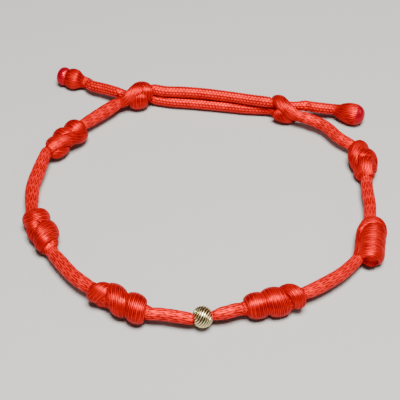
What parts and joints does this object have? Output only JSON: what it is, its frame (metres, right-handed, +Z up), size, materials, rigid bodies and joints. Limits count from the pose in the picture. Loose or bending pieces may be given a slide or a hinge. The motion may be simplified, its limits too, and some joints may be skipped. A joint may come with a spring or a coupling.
{
  "type": "string bracelet",
  "caption": "Knotted cord bracelet with barrel knots, a small fluted bead and a sliding-knot closure with two stopper-knotted tails, lying open as a loop.",
  "frame": {"origin": "middle of the open loop, on the surface it lies on", "axes": "+Z up from the surface, -Y towards the bead, +Y towards the slide knots, +X along the loop's widest way"},
  "size_m": [0.0621, 0.0635, 0.0052],
  "materials": {
    "cord": "bright red satin cord with a fine lengthwise weave and a soft sheen, its cut tips melted to a darker crimson",
    "bead": "pale champagne gold, bright slanting cuts"
  },
  "bodies": {
    "root": {"bead": "bead", "cord_front": "cord", "cord_front_left": "cord", "cord_side_left": "cord", "cord_back_left": "cord", "cord_front_right": "cord", "cord_side_right": "cord", "cord_back_right": "cord", "knot_front_left": "cord", "knot_side_left": "cord", "knot_back_left": "cord", "knot_front_right": "cord", "knot_side_right": "cord", "knot_back_right": "cord", "slide_knot_left": "cord", "slide_knot_right": "cord", "running_end_left": "cord", "running_end_right": "cord", "end_knot_left": "cord", "end_knot_right": "cord"}
  },
  "joints": []
}
